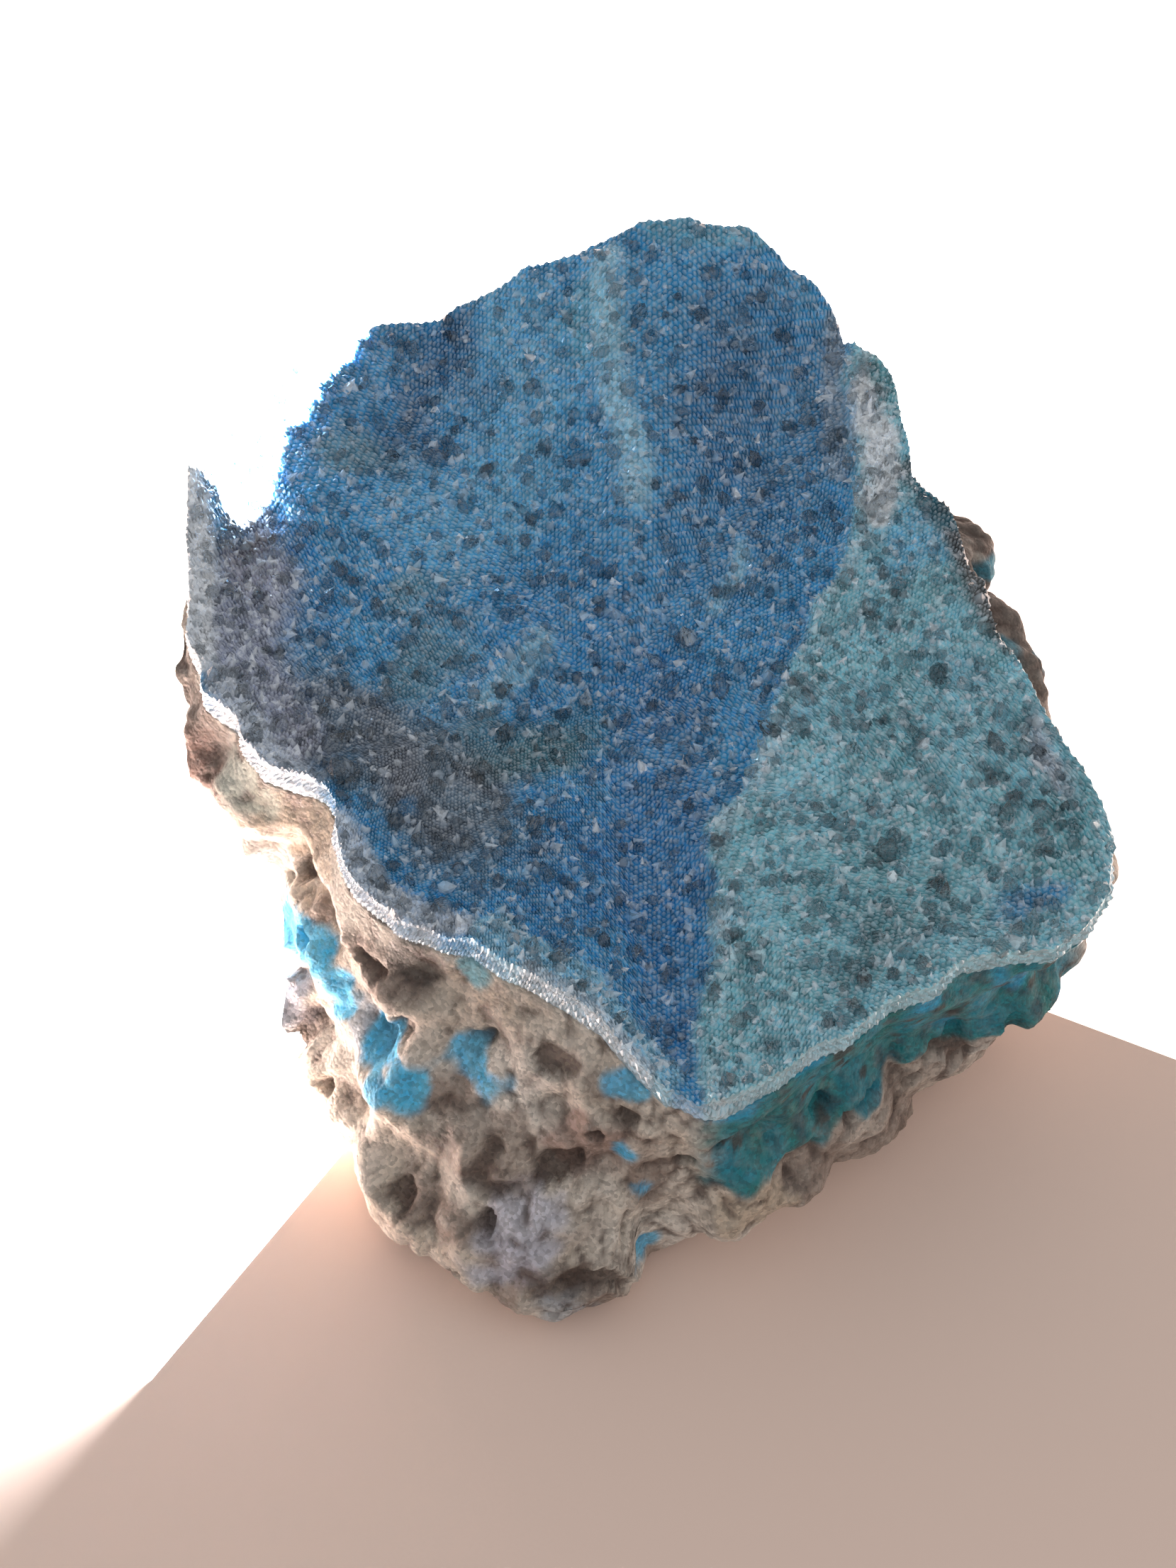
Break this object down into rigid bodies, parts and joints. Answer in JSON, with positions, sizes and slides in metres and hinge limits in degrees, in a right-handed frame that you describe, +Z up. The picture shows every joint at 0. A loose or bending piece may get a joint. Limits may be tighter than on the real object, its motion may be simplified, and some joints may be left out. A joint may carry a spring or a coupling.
{
  "type": "druzy chrysocolla specimen",
  "caption": "Hand-sized mineral specimen: a wedge of pitted host rock that carries a basin-shaped blue druzy quartz crust with flat-faced points.",
  "frame": {"origin": "middle of the specimen's outline, on the surface that it rests on", "axes": "+Z up from the flat resting face through the druse, +Y away from the thick rocky front, +X to the right"},
  "size_m": [0.0806, 0.0866, 0.033],
  "materials": {
    "host_rock": "matt, crumbly grey and brown host rock with turquoise patches in its cracks and a dark teal band under the crust",
    "druse": "glittering druzy quartz over blue chrysocolla, from deep blue through pale aqua to white and smoky grey"
  },
  "bodies": {
    "root": {"matrix_rock": "host_rock", "druzy_crust": "druse"}
  },
  "joints": []
}
